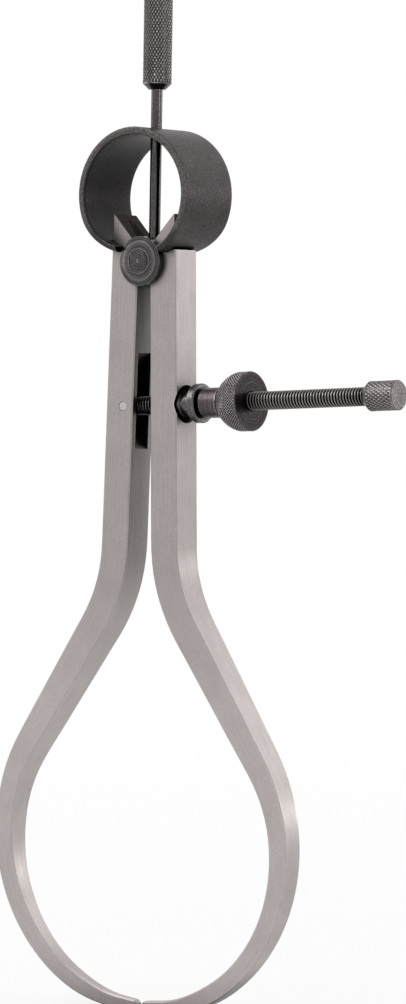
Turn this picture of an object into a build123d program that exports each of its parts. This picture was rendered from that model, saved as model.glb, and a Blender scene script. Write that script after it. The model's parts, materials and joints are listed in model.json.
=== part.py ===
from build123d import *
from math import acos, asin, cos, degrees, radians, sin, sqrt
import os

# Outside spring caliper of the 6 inch size, hung from its handle with the tips nearly closed.
# Lengths are in millimetres and angles in degrees. +X points to the adjusting nut, +Y to the
# back and +Z up the handle. The origin is the middle of the gap between the measuring tips.
# Everything is built with the fulcrum at zero and lifted to its place at the end.

# Driving dimensions

# Legs: square bar at the top, bent outward, then bowed round to a slim measuring tip.
leg_width = 6.6
leg_depth = 7.2
leg_gap = 3.0
rest_swing = 1.46
tip_gap = 0.8
bend_drop = 57.2
bend_radius = 31.9
bend_angle = 32.7
diagonal_length = 31.0
bow_radius = 33.0
nose_length = 0.9
nose_taper = 32.0
leg_edge_break = 0.3
leg_stations = 22
leg_lead_stations = 2
taper_place_shares = (0.0, 0.15, 0.39, 0.50, 0.70, 0.87, 1.0)
leg_width_shares = (1.0, 0.95, 0.80, 0.68, 0.62, 0.56, 0.33)
leg_depth_shares = (1.0, 0.97, 0.86, 0.75, 0.57, 0.40, 0.27)

# Ears: the bevelled tops of the legs, inside the bow spring.
ear_height = 9.3
ear_bevel = 45.8
ear_knee_side = 3.15
ear_knee_height = 4.62
ear_clearance = 0.15
stem_relief = 0.3

# Fulcrum stud: a spool on which both legs roll, with a domed head at each end.
barrel_radius = 3.0
head_radius = 5.0
head_rim = 1.3
head_dome = 0.5
head_disc_radius = 2.1
head_groove_width = 0.3
head_groove_depth = 0.25
head_dot_radius = 0.35
roll_clearance = 0.05

# Handle: a knurled grip on a thin stem that is screwed down into the stud.
stem_radius = 1.15
stem_seat_drop = 1.4
grip_radius = 2.95
grip_length = 24.0
grip_height = 34.7
grip_cone = 1.2
grip_cone_radius = 1.7
grip_chamfer = 0.5
screwed_clearance = 0.02

# Bow spring: a wide flat band bent almost to a circle, its ends hooked into the legs.
spring_width = 15.9
spring_radius = 13.5
spring_height = 13.4
spring_thickness = 1.2
spring_crown = 0.3
spring_end_radius = 11.2
spring_turn = 115.0
spring_end_turn = 47.0
spring_corner_width = 3.2
spring_corner_height = 6.5
spring_clearance = 0.1
stem_hole_clearance = 0.15
shoulder_height = 2.35
shoulder_depth = 1.6

# Adjusting screw: pinned in the left leg, it passes out through the right leg.
screw_radius = 1.88
screw_tilt = 3.1
pivot_radius = 29.7
pin_side_angle = 8.95
pin_radius = 1.0
pin_clearance = 0.04
slot_width = 4.3
slot_length = 19.6
slot_drop = 28.3
slot_depth = 4.6
pocket_depth = 3.4
passage_clearance = 0.3

# Ball seat washer: its round nose sits in the countersink of the right leg.
ball_radius = 2.9
ball_nose_radius = 2.25
washer_neck_radius = 2.65
washer_neck_end = 3.1
washer_flare_end = 3.9
washer_radius = 4.0
washer_chamfer = 0.3
washer_end = 5.39
washer_bore_clearance = 0.15
seat_angle = 28.0
seat_clearance = 0.03
seat_throat_radius = 2.15

# Adjusting nut: smooth neck, bead, knurled bell and rim. Places are from the ball's centre.
nut_start = 5.44
nut_neck_radius = 3.05
nut_neck_chamfer = 0.65
nut_bead_start = 9.95
nut_bead_radius = 3.2
nut_bead_length = 0.35
nut_bell_start = 10.6
nut_bell_start_radius = 3.3
nut_bell_middle = 12.3
nut_bell_middle_radius = 5.0
nut_bell_end = 14.6
nut_radius = 6.0
nut_end = 17.23
nut_chamfer = 0.2
nut_countersink_radius = 2.2
thread_clearance = 0.06

# End cap: a small knurled barrel that keeps the nut on the screw.
cap_start = 45.03
cap_end = 52.43
cap_radius = 2.98
cap_shoulder = 1.0
cap_shoulder_radius = 2.15
cap_chamfer = 0.25
cap_floor = 1.5

# One overrun takes every cut clear past the faces that it opens.
overrun = 1.0

# Places that follow from the dimensions

leg_inner = leg_gap / 2
leg_outer = leg_inner + leg_width
leg_middle = leg_inner + leg_width / 2
head_inner = leg_depth / 2 + roll_clearance
head_outer = head_inner + head_rim
head_crown = head_outer + head_dome
roll_radius = barrel_radius + roll_clearance
grip_top = grip_height + grip_length
across = Vector(0, 1, 0)


def at_angle(angle):
    """The unit direction in the XZ plane at an angle up from +X."""
    return Vector(cos(radians(angle)), 0, sin(radians(angle)))


def on_ring(side, height, radius, angle):
    """The point on a ring about a centre, at an angle measured from its top."""
    a = radians(angle)
    return (side + radius * sin(a), height + radius * cos(a))


# The screw's pin and the ball's centre lie at one radius from the fulcrum, on opposite sides
# of the line that the tilt sets, so the screw keeps its tilt while the legs swing.
seat_side_angle = pin_side_angle + 2 * screw_tilt
half_spread = (pin_side_angle + seat_side_angle) / 2
pin_point = -pivot_radius * at_angle(90 - pin_side_angle)
seat_point = -pivot_radius * at_angle(90 + seat_side_angle)
rest_reach = 2 * pivot_radius * sin(radians(half_spread))
nut_travel = cap_start - nut_end
full_reach = rest_reach + nut_travel
open_swing = degrees(asin(full_reach / 2 / pivot_radius)) - half_spread
screw_plane = Plane(origin=seat_point, x_dir=across, z_dir=at_angle(screw_tilt))

# The bow of each leg runs on until its nose stands beside the measuring gap.
bow_start_side = leg_middle + bend_radius * (1 - cos(radians(bend_angle)))
bow_start_side += diagonal_length * sin(radians(bend_angle))
bow_start_drop = bend_drop + bend_radius * sin(radians(bend_angle))
bow_start_drop += diagonal_length * cos(radians(bend_angle))
bow_centre_side = bow_start_side - bow_radius * cos(radians(bend_angle))
bow_centre_drop = bow_start_drop + bow_radius * sin(radians(bend_angle))
bow_centre = Vector(bow_centre_side, 0, -bow_centre_drop).rotate(Axis.Y, -rest_swing)
nose_base = tip_gap / 2 + nose_length
tip_angle = degrees(acos((nose_base - bow_centre.X) / bow_radius))
bow_turn = tip_angle + bend_angle + rest_swing
bow_length = bow_radius * radians(bow_turn)
bend_length = bend_radius * radians(bend_angle)
bent_length = bend_length + diagonal_length + bow_length
fulcrum_height = bow_radius * sin(radians(tip_angle)) - bow_centre.Z
to_rest = Rot(0, -rest_swing, 0)


def share_at(place, shares):
    """The share of a taper at a place along the leg, straight between the places given."""
    spans = zip(taper_place_shares, taper_place_shares[1:], shares, shares[1:])
    for low, high, first, last in spans:
        if place <= high:
            return first + (last - first) * (place - low) / (high - low)
    return shares[-1]


def leg_plane(place):
    """The plane across the right leg's middle line, at a share of its bent length."""
    along = place * bent_length
    if along <= 0:
        lean = 0
        side = leg_middle
        drop = bend_drop + along
    elif along <= bend_length:
        lean = degrees(along / bend_radius)
        side = leg_middle + bend_radius * (1 - cos(radians(lean)))
        drop = bend_drop + bend_radius * sin(radians(lean))
    elif along <= bend_length + diagonal_length:
        lean = bend_angle
        left = bend_length + diagonal_length - along
        side = bow_start_side - left * sin(radians(lean))
        drop = bow_start_drop - left * cos(radians(lean))
    else:
        lean = bend_angle - degrees((along - bend_length - diagonal_length) / bow_radius)
        side = bow_centre_side + bow_radius * cos(radians(lean))
        drop = bow_centre_drop - bow_radius * sin(radians(lean))
    return Plane(origin=(side, 0, -drop), x_dir=across, z_dir=-at_angle(90 + lean))


def leg_section(place):
    """The leg's cross-section there: a rectangle with its edges broken."""
    width = leg_width * share_at(max(place, 0), leg_width_shares)
    depth = leg_depth * share_at(max(place, 0), leg_depth_shares)
    section = Rectangle(depth, width)
    return leg_plane(place) * chamfer(section.vertices(), leg_edge_break)


def slab(points, thickness):
    """A plate with its outline in the XZ plane, half its thickness to each side."""
    outline = make_face(Plane.XZ * Polyline(*points, close=True))
    return extrude(outline, amount=thickness / 2, both=True)


def cross_rod(radius, length, centre=(0, 0, 0)):
    """A round bar that lies front to back."""
    return Pos(*centre) * Rot(90, 0, 0) * Cylinder(radius, length)


def turning(*profile):
    """A solid turned about Z from a closed profile of radii and heights."""
    return revolve(make_face(Plane.XZ * Polyline(*profile, close=True)), Axis.Z)


def slot_cutter(depth):
    """The disc that mills a slot into the leg's inner face, as a plunged cutter leaves it."""
    radius = (slot_length ** 2 / 4 + slot_depth ** 2) / 2 / slot_depth
    return cross_rod(radius, slot_width, (leg_inner + depth - radius, 0, -slot_drop))


def leg_blank():
    """The right leg in its own frame, hung straight down, with its ear and half-round."""
    lead = leg_lead_stations / leg_stations
    top = extrude(leg_section(-lead), amount=lead * bent_length - bend_drop - ear_height)
    stations = range(-leg_lead_stations, leg_stations + 1)
    bent = loft([leg_section(i / leg_stations) for i in stations])
    nose = extrude(leg_section(1), amount=nose_length, taper=nose_taper)
    blank = top + bent + nose
    toe_angle = degrees(acos(ear_clearance / roll_radius)) - rest_swing - open_swing
    toe = roll_radius * at_angle(toe_angle)
    knee = Vector(ear_knee_side, 0, ear_knee_height)
    foot = knee + (toe - knee) * (knee.X / (knee.X - toe.X))
    peak = knee + at_angle(ear_bevel) * pivot_radius
    bevel = [(p.X, p.Z) for p in (foot, knee, peak)] + [(foot.X, peak.Z)]
    blank -= slab(bevel, leg_depth + 2 * overrun)
    blank -= cross_rod(roll_radius, leg_depth + 2 * overrun)
    groove = extrude(Circle(stem_radius + stem_relief), amount=spring_radius)
    return blank - Rot(0, rest_swing + open_swing, 0) * groove


def spring_notch():
    """The curved notch above the leg's shoulder that holds the end of the bow spring."""
    centre = end_centre
    ring = Circle(spring_end_radius + spring_clearance)
    ring -= Circle(spring_end_radius - spring_thickness - spring_clearance)
    last = spring_turn + spring_end_turn + degrees(spring_clearance / spring_end_radius)
    reach = 2 * spring_radius
    start_way = on_ring(0, 0, reach, spring_turn)
    last_way = on_ring(0, 0, reach, last)
    ring &= make_face(Polyline((0, 0), start_way, last_way, close=True))
    ring = Pos(*centre) * ring
    notch = extrude(Plane.XZ * ring, amount=leg_depth / 2 + overrun, both=True)
    low = shoulder_height
    high = shoulder_height + spring_thickness / 2
    inside = leg_outer - shoulder_depth
    outside = leg_outer + overrun
    step = [(inside, low), (outside, low), (outside, high), (inside, high)]
    return notch + slab(step, leg_depth + 2 * overrun)


def screw_passage():
    """The fan-shaped way for the screw through the right leg, from rest to fully open."""
    half = screw_radius + passage_clearance
    length = leg_width + 2 * overrun
    low_way = at_angle(screw_tilt)
    high_way = at_angle(screw_tilt - open_swing)
    low_side = seat_point - half * at_angle(screw_tilt + 90)
    high_side = seat_point + half * at_angle(screw_tilt - open_swing + 90)
    corners = (low_side - length * low_way, low_side, high_side, high_side - length * high_way)
    fan = slab([(p.X, p.Z) for p in corners], slot_width)
    slope = sin(radians(seat_angle)) / cos(radians(seat_angle))
    apex = (ball_radius + seat_clearance) / sin(radians(seat_angle))
    throat = apex - seat_throat_radius / slope
    mouth = leg_width
    cone = turning((0, -throat), (seat_throat_radius, -throat),
                   ((apex + mouth) * slope, mouth), (0, mouth))
    seat_plane = Plane(origin=seat_point, x_dir=across, z_dir=at_angle(rest_swing))
    return fan + seat_plane.location * cone


# Bow spring

end_offset = spring_radius - spring_end_radius
end_centre = on_ring(0, spring_height, end_offset, spring_turn)


def half_spring():
    """The right half of the band, seen from the front, before its corners are rounded."""
    last = spring_turn + spring_end_turn
    end_middle = (spring_turn + last) / 2
    inner_end = spring_end_radius - spring_thickness
    crown_top = spring_radius - spring_thickness - spring_crown
    crown_middle = spring_radius - spring_thickness - spring_crown / 2
    centre = (0, spring_height)
    outer_join = on_ring(*centre, spring_radius, spring_turn)
    inner_join = on_ring(*end_centre, inner_end, spring_turn)
    outer_last = on_ring(*end_centre, spring_end_radius, last)
    inner_last = on_ring(*end_centre, inner_end, last)
    outer_top = on_ring(*centre, spring_radius, 0)
    inner_top = on_ring(*centre, crown_top, 0)
    outline = [
        ThreePointArc(outer_top, on_ring(*centre, spring_radius, spring_turn / 2), outer_join),
        ThreePointArc(outer_join, on_ring(*end_centre, spring_end_radius, end_middle), outer_last),
        Line(outer_last, inner_last),
        ThreePointArc(inner_last, on_ring(*end_centre, inner_end, end_middle), inner_join),
        ThreePointArc(inner_join, on_ring(*centre, crown_middle, spring_turn / 2), inner_top),
        Line(inner_top, outer_top),
    ]
    return extrude(Plane.XZ * make_face(outline), amount=spring_width / 2, both=True)


def corner_cut():
    """What rounds one corner of the band's ends to an ellipse, seen from the side."""
    low = on_ring(*end_centre, spring_end_radius, spring_turn + spring_end_turn)[1]
    width = spring_corner_width + overrun
    height = spring_corner_height + overrun
    side = spring_width / 2 - spring_corner_width
    top = low + spring_corner_height
    block = Pos(side + width / 2, top - height / 2) * Rectangle(width, height)
    keep = Pos(side, top) * Ellipse(spring_corner_width, spring_corner_height)
    return extrude(Plane.YZ * (block - keep), amount=spring_radius)


def mirrored(shape, plane):
    """The shape with its mirror image."""
    return shape + mirror(shape, plane)


band = mirrored(half_spring(), Plane.YZ)
band -= mirrored(mirrored(corner_cut(), Plane.XZ), Plane.YZ)
stem_hole = Cylinder(stem_radius + stem_hole_clearance, spring_radius)
bow_spring = band - Pos(0, 0, spring_height + spring_radius) * stem_hole

# Legs

pin_in_leg = Vector(-pin_point.X, 0, pin_point.Z).rotate(Axis.Y, rest_swing)
blank = leg_blank()
right_cuts = slot_cutter(pocket_depth)
left_cuts = slot_cutter(slot_depth)
pin_hole = cross_rod(pin_radius + screwed_clearance, leg_depth + 2 * overrun, tuple(pin_in_leg))
right_leg = to_rest * (blank - right_cuts) - spring_notch() - screw_passage()
left_leg = mirror(to_rest * (blank - left_cuts - pin_hole) - spring_notch(), Plane.YZ)

# Fulcrum stud

dome_radius = (head_radius ** 2 + head_dome ** 2) / 2 / head_dome
dome_middle = sqrt(dome_radius ** 2 - head_radius ** 2 / 4) - dome_radius + head_crown
half_stud = [
    Polyline((0, head_crown), (0, 0), (barrel_radius, 0), (barrel_radius, head_inner),
             (head_radius, head_inner), (head_radius, head_outer)),
    ThreePointArc((head_radius, head_outer), (head_radius / 2, dome_middle), (0, head_crown)),
]
half_stud = revolve(Plane.XZ * make_face(half_stud), Axis.Z)
groove_floor = head_crown - head_groove_depth
groove_outside = head_disc_radius + head_groove_width
half_stud -= turning((head_disc_radius, groove_floor), (groove_outside, groove_floor),
                     (groove_outside, head_crown), (head_disc_radius, head_crown))
half_stud -= turning((0, head_crown - head_dot_radius), (head_dot_radius, head_crown),
                     (0, head_crown + overrun))
half_stud = Rot(90, 0, 0) * half_stud
fulcrum_stud = mirrored(half_stud, Plane.XZ)
stem_floor = -stem_seat_drop - screwed_clearance
stem_socket = extrude(Circle(stem_radius + screwed_clearance), amount=roll_radius - stem_floor)
fulcrum_stud -= Pos(0, 0, stem_floor) * stem_socket

# Handle

handle = turning(
    (0, -stem_seat_drop),
    (stem_radius, -stem_seat_drop),
    (stem_radius, grip_height),
    (grip_cone_radius, grip_height),
    (grip_radius, grip_height + grip_cone),
    (grip_radius, grip_top - grip_chamfer),
    (grip_radius - grip_chamfer, grip_top),
    (0, grip_top),
)

# Adjusting screw and its pin

screw_end = cap_end - cap_floor - screwed_clearance
rod = Pos(0, 0, -rest_reach) * extrude(Circle(screw_radius), amount=rest_reach + screw_end)
rod += Pos(0, 0, -rest_reach) * Sphere(screw_radius)
eye = cross_rod(pin_radius + pin_clearance, leg_depth, tuple(pin_point))
adjusting_screw = screw_plane.location * rod - eye
screw_pivot_pin = cross_rod(pin_radius, leg_depth, tuple(pin_point))

# Ball seat washer

nose_end = -sqrt(ball_radius ** 2 - ball_nose_radius ** 2)
neck_start = sqrt(ball_radius ** 2 - washer_neck_radius ** 2)
washer_bore = screw_radius + washer_bore_clearance
washer_profile = [
    ThreePointArc((ball_nose_radius, nose_end), (ball_radius, 0), (washer_neck_radius, neck_start)),
    Polyline(
        (washer_neck_radius, neck_start),
        (washer_neck_radius, washer_neck_end),
        (washer_radius, washer_flare_end),
        (washer_radius, washer_end - washer_chamfer),
        (washer_radius - washer_chamfer, washer_end),
        (washer_bore, washer_end),
        (washer_bore, nose_end),
        (ball_nose_radius, nose_end),
    ),
]
ball_washer = screw_plane.location * revolve(Plane.XZ * make_face(washer_profile), Axis.Z)

# Adjusting nut

nut_bore = screw_radius + thread_clearance
nut_bead_end = nut_bead_start + nut_bead_length
bell_foot = (nut_bell_start_radius, nut_bell_start)
bell_middle = (nut_bell_middle_radius, nut_bell_middle)
bell_rim = (nut_radius, nut_bell_end)
nut_profile = [
    ThreePointArc(bell_foot, bell_middle, bell_rim),
    Polyline(
        bell_rim,
        (nut_radius, nut_end - nut_chamfer),
        (nut_radius - nut_chamfer, nut_end),
        (nut_countersink_radius, nut_end),
        (nut_bore, nut_end - nut_chamfer),
        (nut_bore, nut_start),
        (nut_neck_radius - nut_neck_chamfer, nut_start),
        (nut_neck_radius, nut_start + nut_neck_chamfer),
        (nut_neck_radius, nut_bead_start),
        (nut_bead_radius, nut_bead_start),
        (nut_bead_radius, nut_bead_end),
        (nut_neck_radius, nut_bead_end),
        (nut_neck_radius, nut_bell_start),
        bell_foot,
    ),
]
adjusting_nut = screw_plane.location * revolve(Plane.XZ * make_face(nut_profile), Axis.Z)

# End cap

cap_bore = screw_radius + screwed_clearance
screw_end_cap = screw_plane.location * turning(
    (cap_bore, cap_start),
    (cap_shoulder_radius, cap_start),
    (cap_radius, cap_start + cap_shoulder),
    (cap_radius, cap_end - cap_chamfer),
    (cap_radius - cap_chamfer, cap_end),
    (0, cap_end),
    (0, cap_end - cap_floor),
    (cap_bore, cap_end - cap_floor),
)

# Export

pieces = {
    "left_leg": left_leg,
    "right_leg": right_leg,
    "fulcrum_stud": fulcrum_stud,
    "bow_spring": bow_spring,
    "handle": handle,
    "adjusting_screw": adjusting_screw,
    "screw_pivot_pin": screw_pivot_pin,
    "ball_washer": ball_washer,
    "adjusting_nut": adjusting_nut,
    "screw_end_cap": screw_end_cap,
}
lift = Pos(0, 0, fulcrum_height)
os.makedirs("parts", exist_ok=True)
for name, piece in pieces.items():
    export_step(lift * piece, f"parts/{name}.step")

print("fulcrum height", round(fulcrum_height, 3), "open swing", round(open_swing, 3))
print("close swing", round(degrees(asin(tip_gap / 2 / fulcrum_height)), 3))
print("pin", pin_point, "seat", seat_point, "reach", round(rest_reach, 3))
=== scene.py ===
# %% [markdown]
# An outside spring caliper hangs upright with its tips nearly closed. The CAD solids give every
# size and place, so this script adds what a solid can't show: knurls, a real thread, satin
# grinding, black oxide and the light of a small studio. Everything is in metres.

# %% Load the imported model
import json
from cmath import phase, rect
from math import atan2, cos, degrees, pi, radians, sin, sqrt
import bmesh
import bpy
from mathutils import Matrix, Vector
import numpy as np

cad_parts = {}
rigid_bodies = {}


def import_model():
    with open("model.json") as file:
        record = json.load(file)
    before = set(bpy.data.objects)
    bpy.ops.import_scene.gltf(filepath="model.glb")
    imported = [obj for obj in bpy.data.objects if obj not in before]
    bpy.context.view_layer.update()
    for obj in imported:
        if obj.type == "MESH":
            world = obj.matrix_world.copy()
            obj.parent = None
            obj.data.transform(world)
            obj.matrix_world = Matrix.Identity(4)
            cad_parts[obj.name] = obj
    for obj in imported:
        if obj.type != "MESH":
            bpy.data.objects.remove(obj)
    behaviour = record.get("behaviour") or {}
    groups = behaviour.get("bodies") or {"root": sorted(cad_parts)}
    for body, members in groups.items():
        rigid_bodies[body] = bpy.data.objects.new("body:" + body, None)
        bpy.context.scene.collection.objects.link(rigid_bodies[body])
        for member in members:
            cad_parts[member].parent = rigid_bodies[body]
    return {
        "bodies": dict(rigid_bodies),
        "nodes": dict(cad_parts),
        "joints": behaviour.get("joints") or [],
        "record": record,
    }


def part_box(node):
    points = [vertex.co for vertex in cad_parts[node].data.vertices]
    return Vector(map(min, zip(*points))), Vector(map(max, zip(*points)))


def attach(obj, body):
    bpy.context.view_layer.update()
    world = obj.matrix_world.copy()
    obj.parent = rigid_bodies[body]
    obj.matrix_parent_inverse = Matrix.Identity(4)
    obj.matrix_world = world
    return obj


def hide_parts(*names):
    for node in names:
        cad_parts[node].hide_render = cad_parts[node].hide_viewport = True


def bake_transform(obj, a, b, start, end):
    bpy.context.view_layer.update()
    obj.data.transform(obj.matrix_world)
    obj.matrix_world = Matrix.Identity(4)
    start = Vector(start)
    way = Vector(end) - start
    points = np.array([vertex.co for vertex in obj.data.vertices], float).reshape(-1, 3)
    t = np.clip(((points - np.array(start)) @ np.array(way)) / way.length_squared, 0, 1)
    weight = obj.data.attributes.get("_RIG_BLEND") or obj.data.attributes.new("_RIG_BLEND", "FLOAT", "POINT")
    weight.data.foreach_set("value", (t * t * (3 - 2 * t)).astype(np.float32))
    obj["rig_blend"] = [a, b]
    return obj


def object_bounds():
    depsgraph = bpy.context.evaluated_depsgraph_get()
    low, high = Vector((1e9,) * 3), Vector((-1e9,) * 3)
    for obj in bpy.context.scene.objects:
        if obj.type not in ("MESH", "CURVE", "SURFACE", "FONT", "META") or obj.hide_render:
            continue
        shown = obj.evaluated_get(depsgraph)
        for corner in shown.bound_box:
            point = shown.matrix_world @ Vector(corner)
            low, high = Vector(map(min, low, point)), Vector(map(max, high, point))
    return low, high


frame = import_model()
cad_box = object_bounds()
joints = {joint["name"]: joint for joint in frame["joints"]}
MM = 0.001
print("CAD nodes:", ", ".join(sorted(frame["nodes"])))

# %% [markdown]
# Three places carry the tool: the fulcrum that both legs roll on, the pin that holds the screw,
# and the ball seat that the nut turns on. They could be typed again, but the joints of the model
# already hold them, and reading them there keeps the new pieces true to the solids.

# %% Places taken from the joints
fulcrum = Vector(joints["left_leg_swing"]["pos_m"])
pin_place = Vector(joints["screw_swivel"]["pos_m"])
seat_place = Vector(joints["seat_tilt"]["pos_m"])
screw_way = Vector(joints["nut_spin"]["axis"])
screw_turn = atan2(screw_way.x, screw_way.z)
lying = Matrix.Rotation(pi / 2, 4, "X")
at_fulcrum = Matrix.Translation(fulcrum)
on_stud = at_fulcrum @ lying
on_pin = Matrix.Translation(pin_place) @ lying
on_screw = Matrix.Translation(seat_place) @ Matrix.Rotation(screw_turn, 4, "Y")
print("the screw rises", round(90 - degrees(screw_turn), 2), "degrees")

# %% [markdown]
# The photograph was taken from the front right with a long lens. A camera can be placed by eye,
# but this one was solved from points of the object seen in the picture, as an azimuth, a height
# angle, a small roll and a distance, so the outline of the render lies on the photograph.

# %% Camera
view_azimuth = radians(36.2)
view_height = radians(2.0)
view_roll = radians(-1.01)
view_distance = 832.36 * MM
view_shift_side = -9.9 * MM
view_shift_up = 48.65 * MM
picture_height = 1004
focal_pixels = 4111.2
sensor_size = 36.0
clip_near = 0.01
clip_far = 50.0

flat_share = cos(view_height)
back = Vector((sin(view_azimuth) * flat_share, -cos(view_azimuth) * flat_share, sin(view_height)))
level = Vector((cos(view_azimuth), sin(view_azimuth), 0))
upright = back.cross(level)
camera_side = cos(view_roll) * level - sin(view_roll) * upright
camera_up = sin(view_roll) * level + cos(view_roll) * upright
camera_data = bpy.data.cameras.new("camera")
camera_data.sensor_width = sensor_size
camera_data.lens = focal_pixels / picture_height * sensor_size
camera_data.clip_start = clip_near
camera_data.clip_end = clip_far
camera = bpy.data.objects.new("camera", camera_data)
camera.matrix_world = Matrix((camera_side, camera_up, back)).transposed().to_4x4()
seen_from = fulcrum + view_distance * back
camera.location = seen_from - view_shift_side * camera_side - view_shift_up * camera_up
bpy.context.scene.collection.objects.link(camera)
bpy.context.scene.camera = camera
bpy.context.scene.view_settings.view_transform = "Standard"
print("lens", round(camera_data.lens, 1), "mm")

# %% [markdown]
# Every material and the floor are node trees. Setting nodes up by hand in code is wordy, so small
# helpers do what comes back: they fill a node's inputs, where a value that is a socket becomes a
# link, make a node or a maths node, stretch a value to another range, mix and scale colours, and
# build and use a node group with named inputs and outputs.

# %% Helpers for nodes
def fill(tree, node, sockets):
    """Fills the inputs of a node, or links them where a value is a socket."""
    for name, value in sockets.items():
        if isinstance(value, bpy.types.NodeSocket):
            tree.links.new(value, node.inputs[name])
        else:
            node.inputs[name].default_value = value


def add_node(tree, kind, sockets=None, **properties):
    """A shader node with its properties set and its inputs filled."""
    made = tree.nodes.new("ShaderNode" + kind)
    for name, value in properties.items():
        setattr(made, name, value)
    fill(tree, made, sockets or {})
    return made


def maths(tree, operation, first, second=0.0):
    """The output of a maths node."""
    return add_node(tree, "Math", {0: first, 1: second}, operation=operation).outputs[0]


def ranged(tree, value, low, high, to_low, to_high):
    """A value stretched from one range to another and held inside it."""
    sockets = {"Value": value, "From Min": low, "From Max": high}
    sockets.update({"To Min": to_low, "To Max": to_high})
    return add_node(tree, "MapRange", sockets).outputs["Result"]


def length_of(tree, vector):
    """The length of a vector."""
    return add_node(tree, "VectorMath", {0: vector}, operation="LENGTH").outputs["Value"]


def mixed_colour(tree, share, first, second):
    """The first colour where the share is zero, and the second where it is one."""
    sockets = {"Factor": share, 6: first, 7: second}
    return add_node(tree, "Mix", sockets, data_type="RGBA").outputs[2]


def scaled_colour(tree, colour, factor):
    """A colour made darker or lighter by a factor."""
    return add_node(tree, "VectorMath", {0: colour, "Scale": factor}, operation="SCALE").outputs[0]


def new_group(name, inputs, outputs):
    """A node group, with the sockets inside that give its inputs and take its outputs."""
    group = bpy.data.node_groups.new(name, "ShaderNodeTree")
    for socket, kind, value in inputs:
        made = group.interface.new_socket(socket, in_out="INPUT", socket_type="NodeSocket" + kind)
        if value is not None:
            made.default_value = value
    for socket, kind in outputs:
        group.interface.new_socket(socket, in_out="OUTPUT", socket_type="NodeSocket" + kind)
    given = group.nodes.new("NodeGroupInput").outputs
    wanted = group.nodes.new("NodeGroupOutput").inputs
    return group, given, wanted


def use_group(tree, group, sockets):
    """The outputs of a node group that is placed in a tree with its own values."""
    return add_node(tree, "Group", sockets, node_tree=group).outputs


def new_material(name):
    """A material with only its output and a Principled shader joined."""
    material = bpy.data.materials.new(name)
    material.use_nodes = True
    tree = material.node_tree
    tree.nodes.clear()
    shader = add_node(tree, "BsdfPrincipled")
    output = add_node(tree, "OutputMaterial", {"Surface": shader.outputs[0]})
    return material, tree, shader, output


# %% [markdown]
# The tool stands on a plain white floor in a white studio, as product photographs do. The floor
# could be lit until it is white, but that would wash out the steel. Instead the camera and the
# mirror-like rays see a white surface. Near the tool some honest diffuse is mixed in, so a soft
# shadow stays, and further out the white takes over, so that no horizon line shows.

# %% Floor
pure_white = (1, 1, 1, 1)
floor_half = 4.0
floor_drop = 0.05 * MM
floor_shade = 0.86
floor_roughness = 0.9
near_glow_share = 0.75
shadow_reach = 0.12
white_reach = 0.6


def seen_directly(tree):
    """One for rays of the camera, off mirrors and through glass, and zero for all others."""
    rays = add_node(tree, "LightPath").outputs
    seen = maths(tree, "MAXIMUM", rays["Is Camera Ray"], rays["Is Glossy Ray"])
    return maths(tree, "MAXIMUM", seen, rays["Is Transmission Ray"])


floor_material, tree, shader, output = new_material("studio_floor")
sockets = {"Base Color": (floor_shade, floor_shade, floor_shade, 1), "Roughness": floor_roughness}
fill(tree, shader, sockets)
glow = add_node(tree, "Emission", {"Color": pure_white, "Strength": 1.0})
away = length_of(tree, add_node(tree, "TexCoord").outputs["Object"])
share = ranged(tree, away, shadow_reach, white_reach, near_glow_share, 1.0)
share = maths(tree, "MULTIPLY", seen_directly(tree), share)
mixed = add_node(tree, "MixShader", {0: share, 1: shader.outputs[0], 2: glow.outputs[0]})
fill(tree, output, {"Surface": mixed.outputs[0]})

floor_height = cad_box[0].z - floor_drop
floor_mesh = bpy.data.meshes.new("floor")
sheet = bmesh.new()
bmesh.ops.create_grid(sheet, x_segments=1, y_segments=1, size=floor_half)
bmesh.ops.translate(sheet, verts=sheet.verts, vec=(0, 0, floor_height))
sheet.to_mesh(floor_mesh)
sheet.free()
floor = bpy.data.objects.new("floor", floor_mesh)
floor.data.materials.append(floor_material)
bpy.context.scene.collection.objects.link(floor)
print("floor at", round(floor_height, 5), "m")

# %% [markdown]
# Satin steel shows the room more than it shows the lamps. The world is the room: white where the
# camera and the reflections look, dimmer where it only lights. The lamps are placed by what they
# must do. Bouncing the line of sight off a surface tells where a lamp shows in it. A key stands
# high at the front left for the glints on the dark turned pieces, and it is large, so that it
# stays soft on any flat side that mirrors it. A low strip behind right shows where the legs bend,
# a broad soft one above it lights their slanted sides, and two narrow ones at the left and right
# draw the streaks down the handle.

# %% World and lamps
world_light = 0.75
lamps = (
    ("key_lamp", (-0.66, -0.72, 0.85), 0.75, 0.75, 5.6),
    ("strip_lamp", (0.81, 1.12, 0.19), 0.7, 0.13, 1.0),
    ("broad_lamp", (0.52, 1.1, 0.75), 0.9, 0.7, 1.3),
    ("right_lamp", (1.18, 0.06, 0.32), 0.16, 0.8, 2.6),
    ("left_lamp", (-1.05, -0.55, 0.32), 0.2, 0.8, 1.5),
)

world = bpy.data.worlds.new("studio")
bpy.context.scene.world = world
world.use_nodes = True
tree = world.node_tree
tree.nodes.clear()
room = add_node(tree, "Background", {"Color": pure_white, "Strength": world_light})
white = add_node(tree, "Background", {"Color": pure_white, "Strength": 1.0})
sockets = {0: seen_directly(tree), 1: room.outputs[0], 2: white.outputs[0]}
mixed = add_node(tree, "MixShader", sockets)
add_node(tree, "OutputWorld", {"Surface": mixed.outputs[0]})

middle = (cad_box[0] + cad_box[1]) / 2
for name, off, width, height, power in lamps:
    data = bpy.data.lights.new(name, "AREA")
    data.shape = "RECTANGLE"
    data.size = width
    data.size_y = height
    data.energy = power
    lamp = bpy.data.objects.new(name, data)
    lamp.location = middle + Vector(off)
    lamp.rotation_mode = "QUATERNION"
    lamp.rotation_quaternion = (middle - lamp.location).to_track_quat("-Z", "Y")
    bpy.context.scene.collection.objects.link(lamp)
print("lamps:", ", ".join(name for name, *_ in lamps))

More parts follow.
